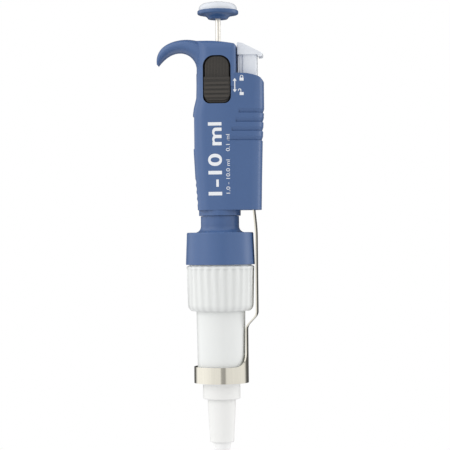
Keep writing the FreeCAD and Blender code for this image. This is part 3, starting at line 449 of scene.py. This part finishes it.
def finish_nodes(names, finish):
    """Gives CAD nodes one finish."""
    for name in names:
        slots = NODES[name].data.materials
        slots.clear()
        slots.append(material(finish))


# ---------------------------------------------------------------- mesh building
def mesh_object(name, mesh, finish):
    """A new object in the scene, with one finish."""
    made = bpy.data.objects.new(name, mesh)
    bpy.context.scene.collection.objects.link(made)
    mesh.materials.clear()
    mesh.materials.append(material(finish))
    return made


def surface_of(names):
    """A ray target made from CAD nodes."""
    points, faces = [], []
    for name in names:
        data = NODES[name].data
        start = len(points)
        points += [v.co.copy() for v in data.vertices]
        faces += [[start + i for i in p.vertices] for p in data.polygons]
    return BVHTree.FromPolygons(points, faces)


def text_mesh(body, size, length=None, bold=0.0):
    """Flat letters in XY, centred on the origin, as a bmesh: size high, and length long if it is given."""
    curve = bpy.data.curves.new("letters", "FONT")
    curve.body = body
    curve.size = 1.0
    curve.offset = bold
    curve.align_x, curve.align_y = "CENTER", "CENTER"
    curve.resolution_u = 6
    letters = bpy.data.objects.new("letters", curve)
    bpy.context.scene.collection.objects.link(letters)
    bpy.context.view_layer.update()
    mesh = bpy.data.meshes.new_from_object(letters.evaluated_get(bpy.context.evaluated_depsgraph_get()))
    bpy.data.objects.remove(letters)
    bm = bmesh.new()
    bm.from_mesh(mesh)
    bpy.data.meshes.remove(mesh)
    low = [min(v.co[i] for v in bm.verts) for i in (0, 1)]
    high = [max(v.co[i] for v in bm.verts) for i in (0, 1)]
    k = size / (high[1] - low[1])
    j = length / (high[0] - low[0]) if length else k
    for v in bm.verts:
        v.co = Vector(((v.co.x - (low[0] + high[0]) / 2) * j, (v.co.y - (low[1] + high[1]) / 2) * k, 0))
    bmesh.ops.remove_doubles(bm, verts=bm.verts, dist=size * 1e-4)
    return bm


def slice_up(bm, axis, step):
    """Cuts a flat mesh into strips, so that it can bend."""
    low = min(v.co[axis] for v in bm.verts)
    high = max(v.co[axis] for v in bm.verts)
    normal = Vector((0, 0, 0))
    normal[axis] = 1.0
    at = math.floor(low / step) * step + step
    while at < high:
        point = Vector((0, 0, 0))
        point[axis] = at
        bmesh.ops.bisect_plane(bm, geom=bm.verts[:] + bm.edges[:] + bm.faces[:], plane_co=point,
                               plane_no=normal, dist=step * 1e-3)
        at += step


def print_on_front(bm, name, x, z, turn, target):
    """Lays flat marks on the front of the handle, a hair proud of it."""
    lift = bpy.context.scene.pipette_sizes.print_height
    bm.transform(Matrix.Rotation(turn, 4, "Z"))
    slice_up(bm, 0, MARK_STRIP_X)
    slice_up(bm, 1, MARK_STRIP_Z)
    bmesh.ops.triangulate(bm, faces=bm.faces[:])
    for v in bm.verts:
        start = Vector((x + v.co.x, AHEAD_OF_HANDLE, z + v.co.y))
        hit = target.ray_cast(start, Vector((0, 1, 0)))[0]
        if hit is None:
            raise RuntimeError(name + " lies off the handle")
        v.co = Vector((start.x, hit.y - lift, start.z))
    bmesh.ops.recalc_face_normals(bm, faces=bm.faces[:])
    if sum(f.normal.y * f.calc_area() for f in bm.faces) > 0:
        bmesh.ops.reverse_faces(bm, faces=bm.faces[:])
    mesh = bpy.data.meshes.new(name)
    bm.to_mesh(mesh)
    bm.free()
    made = mesh_object(name, mesh, "print_white")
    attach(made, "handle")


def outline_face(bm, points):
    """A flat face from its outline."""
    bm.faces.new([bm.verts.new((x, y, 0)) for x, y in points])


def ring_faces(bm, outer, inner):
    """A flat band between two outlines with the same number of points."""
    a = [bm.verts.new((x, y, 0)) for x, y in outer]
    b = [bm.verts.new((x, y, 0)) for x, y in inner]
    for i in range(len(a) - 1):
        bm.faces.new((a[i], a[i + 1], b[i + 1], b[i]))


def padlock(is_open):
    """Plain padlock sign: a body and a shackle, which an open lock has lifted and swung to the left."""
    bm = bmesh.new()
    half_wide, below, above = 1.15 * MM, 1.6 * MM, 0.1 * MM
    outline_face(bm, [(-half_wide, -below), (half_wide, -below), (half_wide, above), (-half_wide, above)])
    swing, lift, short = (-1.15 * MM, 0.45 * MM, 0.7 * MM) if is_open else (0.0, 0.0, 0.0)
    top = 0.75 * MM + lift
    arc = [math.pi * i / 12 for i in range(13)]
    outlines = []
    for r in (0.92 * MM, 0.52 * MM):
        outlines.append([(swing + r, above)] +
                        [(swing + r * math.cos(t), top + r * math.sin(t)) for t in arc] +
                        [(swing - r, above + short)])
    ring_faces(bm, *outlines)
    return bm


def double_arrow():
    """An upright line with a head at each end."""
    bm = bmesh.new()
    half, head, half_head, half_line = 4.1 * MM, 1.6 * MM, 1.1 * MM, 0.3 * MM
    neck = half - head
    outline_face(bm, [(-half_line, -neck), (half_line, -neck), (half_line, neck), (-half_line, neck)])
    outline_face(bm, [(-half_head, neck), (half_head, neck), (0, half)])
    outline_face(bm, [(half_head, -neck), (-half_head, -neck), (0, -half)])
    return bm


# ---------------------------------------------------------------- geometry nodes
def spring_tree():
    """Coil spring from its radius, wire, height and turns."""
    tree = bpy.data.node_groups.new("coil_spring", "GeometryNodeTree")
    face = tree.interface
    face.new_socket(name="Geometry", in_out="OUTPUT", socket_type="NodeSocketGeometry")
    for label, kind in (("Radius", "NodeSocketFloat"), ("Wire", "NodeSocketFloat"),
                        ("Height", "NodeSocketFloat"), ("Turns", "NodeSocketFloat"),
                        ("Sides", "NodeSocketInt"), ("Finish", "NodeSocketMaterial")):
        face.new_socket(name=label, in_out="INPUT", socket_type=kind)
    ends, out = tree.nodes.new("NodeGroupInput"), tree.nodes.new("NodeGroupOutput")
    spiral = tree.nodes.new("GeometryNodeCurveSpiral")
    spiral.inputs["Resolution"].default_value = 40
    link(tree, ends.outputs["Turns"], spiral.inputs["Rotations"])
    link(tree, ends.outputs["Radius"], spiral.inputs["Start Radius"])
    link(tree, ends.outputs["Radius"], spiral.inputs["End Radius"])
    link(tree, ends.outputs["Height"], spiral.inputs["Height"])
    ring = tree.nodes.new("GeometryNodeCurvePrimitiveCircle")
    link(tree, ends.outputs["Sides"], ring.inputs["Resolution"])
    link(tree, ends.outputs["Wire"], ring.inputs["Radius"])
    wire = tree.nodes.new("GeometryNodeCurveToMesh")
    wire.inputs["Fill Caps"].default_value = True
    link(tree, spiral.outputs["Curve"], wire.inputs["Curve"])
    link(tree, ring.outputs["Curve"], wire.inputs["Profile Curve"])
    smooth = tree.nodes.new("GeometryNodeSetShadeSmooth")
    link(tree, wire.outputs["Mesh"], smooth.inputs["Geometry"])
    real = tree.nodes.new("GeometryNodeRealizeInstances")
    link(tree, smooth.outputs["Geometry"], real.inputs["Geometry"])
    paint = tree.nodes.new("GeometryNodeSetMaterial")
    link(tree, real.outputs["Geometry"], paint.inputs["Geometry"])
    link(tree, ends.outputs["Finish"], paint.inputs["Material"])
    link(tree, paint.outputs["Geometry"], out.inputs["Geometry"])
    return tree


def run_tree(tree, name, values, place):
    """Runs a geometry tree and keeps its result as a plain mesh at place."""
    holder = bpy.data.objects.new(name, bpy.data.meshes.new(name))
    bpy.context.scene.collection.objects.link(holder)
    modifier = holder.modifiers.new("build", "NODES")
    modifier.node_group = tree
    for item in tree.interface.items_tree:
        if item.item_type == "SOCKET" and item.in_out == "INPUT" and item.name in values:
            modifier[item.identifier] = values[item.name]
    bpy.context.view_layer.update()
    mesh = bpy.data.meshes.new_from_object(holder.evaluated_get(bpy.context.evaluated_depsgraph_get()))
    holder.modifiers.clear()
    mesh.transform(place)
    holder.data = mesh
    mesh.name = name
    return holder


# ---------------------------------------------------------------- operators
class PIPETTE_OT_shells(bpy.types.Operator):
    """Finishes the handle, collar, button and lock"""
    bl_idname = "pipette.shells"
    bl_label = "Handle and Collar"

    def execute(self, context):
        finish_nodes(["handle_shell_front", "handle_shell_back", "collar_adapter"], "shell_blue")
        finish_nodes(["push_button"], "button_blue")
        finish_nodes(["lock_plate"], "lock_lined")
        finish_nodes(["lock_slider"], "lock_ribbed")
        finish_nodes(["ejector_button", "ejector_rod"], "ejector_grey")
        finish_nodes(["display_window"], "lens_clear")
        return {"FINISHED"}


class PIPETTE_OT_barrel(bpy.types.Operator):
    """Finishes the barrel, nut, cone and filter"""
    bl_idname = "pipette.barrel"
    bl_label = "Barrel and Tip Cone"

    def execute(self, context):
        finish_nodes(["barrel"], "barrel_white")
        finish_nodes(["coupling_nut"], "nut_white")
        finish_nodes(["button_cap"], "cap_pale")
        finish_nodes(["tip_cone", "push_ring"], "cone_white")
        finish_nodes(["filter_plug"], "filter_porous")
        finish_nodes(["barrel_gasket", "cone_o_ring", "piston_seal"], "rubber_black")
        return {"FINISHED"}


class PIPETTE_OT_metal(bpy.types.Operator):
    """Finishes the steel arm, rod and small metal pieces"""
    bl_idname = "pipette.metal"
    bl_label = "Steel Pieces"

    def execute(self, context):
        finish_nodes(["ejector_arm"], "steel_arm")
        finish_nodes(["plunger_rod", "arm_screw"], "steel_rod")
        finish_nodes(["rod_clip", "spring_seat", "blowout_disc"], "spring_wire")
        return {"FINISHED"}


class PIPETTE_OT_inside(bpy.types.Operator):
    """Finishes the counter, spindle and piston"""
    bl_idname = "pipette.inside"
    bl_label = "Mechanism"

    def execute(self, context):
        finish_nodes(["top_bushing", "counter_frame", "nut_guide", "rod_foot", "drive_sleeve", "stop_nut",
                      "piston_stem", "piston_head", "lock_pawl"], "inner_dark")
        finish_nodes(["drum_tenths", "drum_units", "drum_tens"], "drum_white")
        return {"FINISHED"}


class PIPETTE_OT_springs(bpy.types.Operator):
    """Builds the coil springs and hides the CAD springs that they stand in for"""
    bl_idname = "pipette.springs"
    bl_label = "Springs"

    def execute(self, context):
        tree = spring_tree()
        sides = context.scene.pipette_sizes.wire_sides
        rows = (("main_spring", 0.5 * MM, 7.0, "plunger_press", PRESS_TRAVEL),
                ("blowout_spring", 0.6 * MM, 3.0, "plunger_press", BLOWOUT_TRAVEL),
                ("rod_spring", 0.3 * MM, 8.0, "plunger_press", PRESS_TRAVEL),
                ("ejector_spring", 0.4 * MM, 11.0, "eject_press", EJECT_TRAVEL))
        for name, wire, turns, joint, travel in rows:
            low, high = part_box(name)
            radius = (high.x - low.x) / 2 - wire
            height = high.z - low.z - 2 * wire
            place = Matrix.Translation(((low.x + high.x) / 2, (low.y + high.y) / 2, low.z + wire))
            made = run_tree(tree, name + "_coil", {
                "Radius": radius, "Wire": wire, "Height": height, "Turns": turns, "Sides": sides,
                "Finish": material("spring_wire")}, place)
            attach(made, "handle")
            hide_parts(name)
            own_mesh(made)
        return {"FINISHED"}


class PIPETTE_OT_numerals(bpy.types.Operator):
    """Prints the numerals round the three drums"""
    bl_idname = "pipette.numerals"
    bl_label = "Drum Numerals"

    def execute(self, context):
        size = context.scene.pipette_sizes.digit_height
        lift = context.scene.pipette_sizes.print_height
        for name, body, shown in (("drum_tens", "tens", 1), ("drum_units", "units", 0),
                                  ("drum_tenths", "sleeve", 0)):
            low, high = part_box(name)
            radius = (high.x - low.x) / 2 + lift
            middle = (low.z + high.z) / 2
            whole = bmesh.new()
            for digit in range(10):
                bm = text_mesh(str(digit), size)
                slice_up(bm, 0, DIGIT_STRIP)
                turn = math.pi + DIGIT_STEP * (shown - digit)
                for v in bm.verts:
                    a = turn + v.co.x / radius
                    v.co = Vector((radius * math.cos(a), radius * math.sin(a), middle + v.co.y))
                mesh = bpy.data.meshes.new("digit")
                bm.to_mesh(mesh)
                bm.free()
                whole.from_mesh(mesh)
                bpy.data.meshes.remove(mesh)
            bmesh.ops.triangulate(whole, faces=whole.faces[:])
            for face in whole.faces:
                c = face.calc_center_median()
                if face.normal.x * c.x + face.normal.y * c.y < 0:
                    face.normal_flip()
            mesh = bpy.data.meshes.new(name + "_numerals")
            whole.to_mesh(mesh)
            whole.free()
            made = mesh_object(name + "_numerals", mesh, "print_black")
            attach(made, body)
        return {"FINISHED"}


class PIPETTE_OT_marks(bpy.types.Operator):
    """Prints the range marking and the lock's signs on the handle"""
    bl_idname = "pipette.marks"
    bl_label = "Printed Marks"

    def execute(self, context):
        target = surface_of(["handle_shell_front"])
        size = context.scene.pipette_sizes.lettering
        up = math.pi / 2
        print_on_front(text_mesh("1-10 ml", size, 42 * MM, 0.02), "range_marking",
                       -1.4 * MM, 163.5 * MM, up, target)
        print_on_front(text_mesh("1.0 - 10.0 ml    0.1 ml", size * SMALL_MARK, 34 * MM), "step_marking",
                       6.0 * MM, 160.5 * MM, up, target)
        print_on_front(double_arrow(), "arrow_marking", 10.3 * MM, 205.7 * MM, 0.0, target)
        print_on_front(padlock(False), "locked_marking", 14.2 * MM, 209.9 * MM, 0.0, target)
        print_on_front(padlock(True), "unlocked_marking", 14.2 * MM, 201.6 * MM, 0.0, target)
        return {"FINISHED"}


class PIPETTE_OT_stage(bpy.types.Operator):
    """Builds the floor, light and camera"""
    bl_idname = "pipette.stage"
    bl_label = "Stage"

    def execute(self, context):
        scene, s = context.scene, context.scene.pipette_stage
        scene.view_settings.view_transform = "Standard"
        self.floor(scene, s)
        self.surround(scene, s)
        self.softbox(scene, "key_left", (-0.75, -0.65, 0.55), 0.5, s.key)
        self.softbox(scene, "rim_right", (0.85, 0.25, 0.35), 0.35, s.rim)
        self.camera(scene, s)
        return {"FINISHED"}

    def floor(self, scene, s):
        """A pale floor, which the camera sees evenly lit. It ends short of what the steel mirrors."""
        bm = bmesh.new()
        bmesh.ops.create_grid(bm, x_segments=4, y_segments=4, size=FLOOR_HALF)
        mesh = bpy.data.meshes.new("floor")
        bm.to_mesh(mesh)
        bm.free()
        mesh.transform(Matrix.Translation((0, 0, s.floor_z)))
        made = bpy.data.objects.new("floor", mesh)
        scene.collection.objects.link(made)
        mat, tree, shader, _ = start_material("floor_pale", (0.62, 0.62, 0.63), 0.9)
        glow = node(tree, "ShaderNodeEmission")
        glow.inputs["Color"].default_value = (1.0, 1.0, 1.0, 1.0)
        path = node(tree, "ShaderNodeLightPath")
        mix = node(tree, "ShaderNodeMixShader")
        link(tree, path.outputs["Is Camera Ray"], mix.inputs[0])
        link(tree, shader.outputs[0], mix.inputs[1])
        link(tree, glow.outputs[0], mix.inputs[2])
        link(tree, mix.outputs[0], tree.nodes["Material Output"].inputs["Surface"])
        mesh.materials.append(mat)

    def surround(self, scene, s):
        """White behind the object; for its light, a soft tent with a dark front strip and a dark back."""
        world = bpy.data.worlds.new("studio")
        scene.world = world
        world.use_nodes = True
        tree = world.node_tree
        x, y, z = axes(tree, node(tree, "ShaderNodeTexCoord").outputs["Generated"])
        turn = maths(tree, "ARCTAN2", x, maths(tree, "MULTIPLY", y, -1.0))
        away = maths(tree, "ABSOLUTE", turn)
        aside = maths(tree, "ABSOLUTE", maths(tree, "SUBTRACT", turn, DARK_STRIP_TURN))
        lean = maths(tree, "MULTIPLY_ADD", x, -s.tent_side, 1.0)

        # What shiny pieces mirror: darker in a strip right of the front and behind, lighter above and aside
        dark = maths(tree, "MULTIPLY", ramp(tree, aside, 0.12, 0.24, 0.4, 1.0),
                     ramp(tree, away, 2.0, 2.45, 1.0, 0.0))
        shiny = maths(tree, "MULTIPLY_ADD", dark, 0.9, 0.1)
        shiny = maths(tree, "MULTIPLY", shiny, ramp(tree, z, -0.5, 0.6, 0.86, 1.26))
        shiny = maths(tree, "MULTIPLY", shiny, ramp(tree, away, 0.35, 1.2, 0.96, 1.08))
        # What lights the rest: lighter above and aside
        soft = maths(tree, "MULTIPLY", ramp(tree, z, -0.5, 0.6, s.tent_low, s.tent_top),
                     ramp(tree, away, 0.35, 1.2, 0.78, 1.08))

        path = node(tree, "ShaderNodeLightPath")
        level = self.choose(tree, path.outputs["Is Glossy Ray"], soft, shiny)
        level = maths(tree, "MULTIPLY", level, lean)
        level = self.choose(tree, path.outputs["Is Camera Ray"], level, None)
        back = tree.nodes["Background"]
        link(tree, level, back.inputs["Strength"])
        back.inputs["Color"].default_value = (1.0, 1.0, 1.0, 1.0)

    def choose(self, tree, flag, off, on):
        """off where the flag is 0, and on, or 1 if there is no socket, where it is 1."""
        made = node(tree, "ShaderNodeMix", data_type="FLOAT")
        link(tree, flag, made.inputs["Factor"])
        link(tree, off, made.inputs["A"])
        if on is None:
            made.inputs["B"].default_value = 1.0
        else:
            link(tree, on, made.inputs["B"])
        return made.outputs["Result"]

    def softbox(self, scene, name, place, size, power):
        """An upright area light, aimed at the pipette's middle."""
        data = bpy.data.lights.new(name, "AREA")
        data.shape, data.size, data.size_y, data.energy = "RECTANGLE", size, size * 1.6, power
        lamp = bpy.data.objects.new(name, data)
        scene.collection.objects.link(lamp)
        lamp.location = place
        lamp.rotation_euler = (LIT_POINT - Vector(place)).to_track_quat("-Z", "Y").to_euler()

    def camera(self, scene, s):
        """A long lens, at about the collar's height."""
        data = bpy.data.cameras.new("camera")
        data.lens, data.sensor_width = s.lens, SENSOR_WIDTH
        data.clip_start, data.clip_end = 0.01, 50.0
        made = bpy.data.objects.new("camera", data)
        scene.collection.objects.link(made)
        place = Vector((s.aim_x + s.distance * math.sin(s.azimuth),
                        -s.distance * math.cos(s.azimuth), s.height))
        look = Vector((s.aim_x, 0, s.aim_z)) - place
        turn = look.to_track_quat("-Z", "Y").to_matrix().to_4x4()
        made.matrix_world = Matrix.Translation(place) @ turn @ Matrix.Rotation(s.roll, 4, "Z")
        scene.camera = made


class PIPETTE_PT_panel(bpy.types.Panel):
    """Lists the pipette's settings and steps."""
    bl_label = "Pipette"
    bl_idname = "PIPETTE_PT_panel"
    bl_space_type = "VIEW_3D"
    bl_region_type = "UI"
    bl_category = "Pipette"

    def draw(self, context):
        for holder in ("pipette_colours", "pipette_sizes", "pipette_stage"):
            group_of = getattr(context.scene, holder)
            box = self.layout.box()
            for key in group_of.__annotations__:
                box.prop(group_of, key)
        for step in STEPS:
            self.layout.operator(step.bl_idname)


GROUP_CLASSES = (PipetteColours, PipetteSizes, StageSettings)
STEPS = (PIPETTE_OT_shells, PIPETTE_OT_barrel, PIPETTE_OT_metal, PIPETTE_OT_inside, PIPETTE_OT_springs,
         PIPETTE_OT_numerals, PIPETTE_OT_marks, PIPETTE_OT_stage)


def register():
    for item in GROUP_CLASSES + STEPS + (PIPETTE_PT_panel,):
        bpy.utils.register_class(item)
    bpy.types.Scene.pipette_colours = PointerProperty(type=PipetteColours)
    bpy.types.Scene.pipette_sizes = PointerProperty(type=PipetteSizes)
    bpy.types.Scene.pipette_stage = PointerProperty(type=StageSettings)


def unregister():
    del bpy.types.Scene.pipette_stage
    del bpy.types.Scene.pipette_sizes
    del bpy.types.Scene.pipette_colours
    for item in reversed(GROUP_CLASSES + STEPS + (PIPETTE_PT_panel,)):
        bpy.utils.unregister_class(item)


def main():
    register()
    bpy.ops.pipette.shells()
    bpy.ops.pipette.barrel()
    bpy.ops.pipette.metal()
    bpy.ops.pipette.inside()
    bpy.ops.pipette.springs()
    bpy.ops.pipette.numerals()
    bpy.ops.pipette.marks()
    bpy.ops.pipette.stage()


if __name__ == "__main__":
    main()
